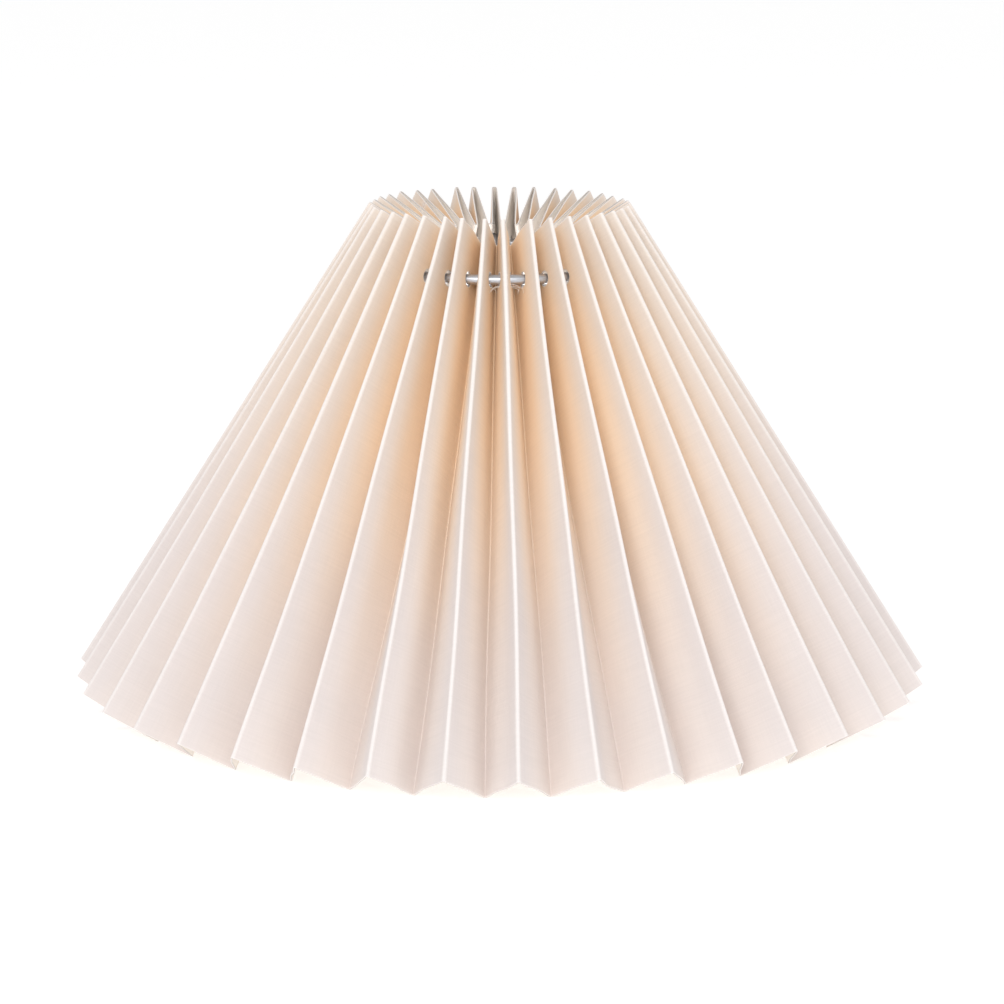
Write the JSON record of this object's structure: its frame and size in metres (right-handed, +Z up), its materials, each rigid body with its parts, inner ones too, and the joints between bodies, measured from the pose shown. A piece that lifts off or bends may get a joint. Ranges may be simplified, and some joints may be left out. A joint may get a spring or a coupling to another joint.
{
  "type": "pleated cone lamp shade",
  "caption": "Pleated cloth cone shade threaded on a wire ring, with hooked wire arms to a flat lampholder ring.",
  "frame": {"origin": "on the cone's axis, in the plane that the hem's inner folds stand on", "axes": "+Z up the cone's axis from the hem to the narrow upper edge; -Y towards the front, through the middle of one outer fold"},
  "size_m": [0.2994, 0.3004, 0.1744],
  "materials": {
    "pleated_cloth": "matte",
    "seam_tape": "satin",
    "zinc_plated_steel": "satin"
  },
  "bodies": {
    "shade": {"pleated_cover": "pleated_cloth", "seam_tape": "seam_tape", "spider_arm_1": "zinc_plated_steel", "spider_arm_2": "zinc_plated_steel", "spider_arm_3": "zinc_plated_steel", "lampholder_ring": "zinc_plated_steel"},
    "ring": {"carrier_ring": "zinc_plated_steel", "ring_sleeve": "zinc_plated_steel"}
  },
  "joints": [
    {"name": "ring_turn", "type": "hinge", "parent": "shade", "child": "ring", "pos_m": [0, 0, 0.15419], "axis": [0, 0, 1], "range_deg": [-50, 50]}
  ]
}
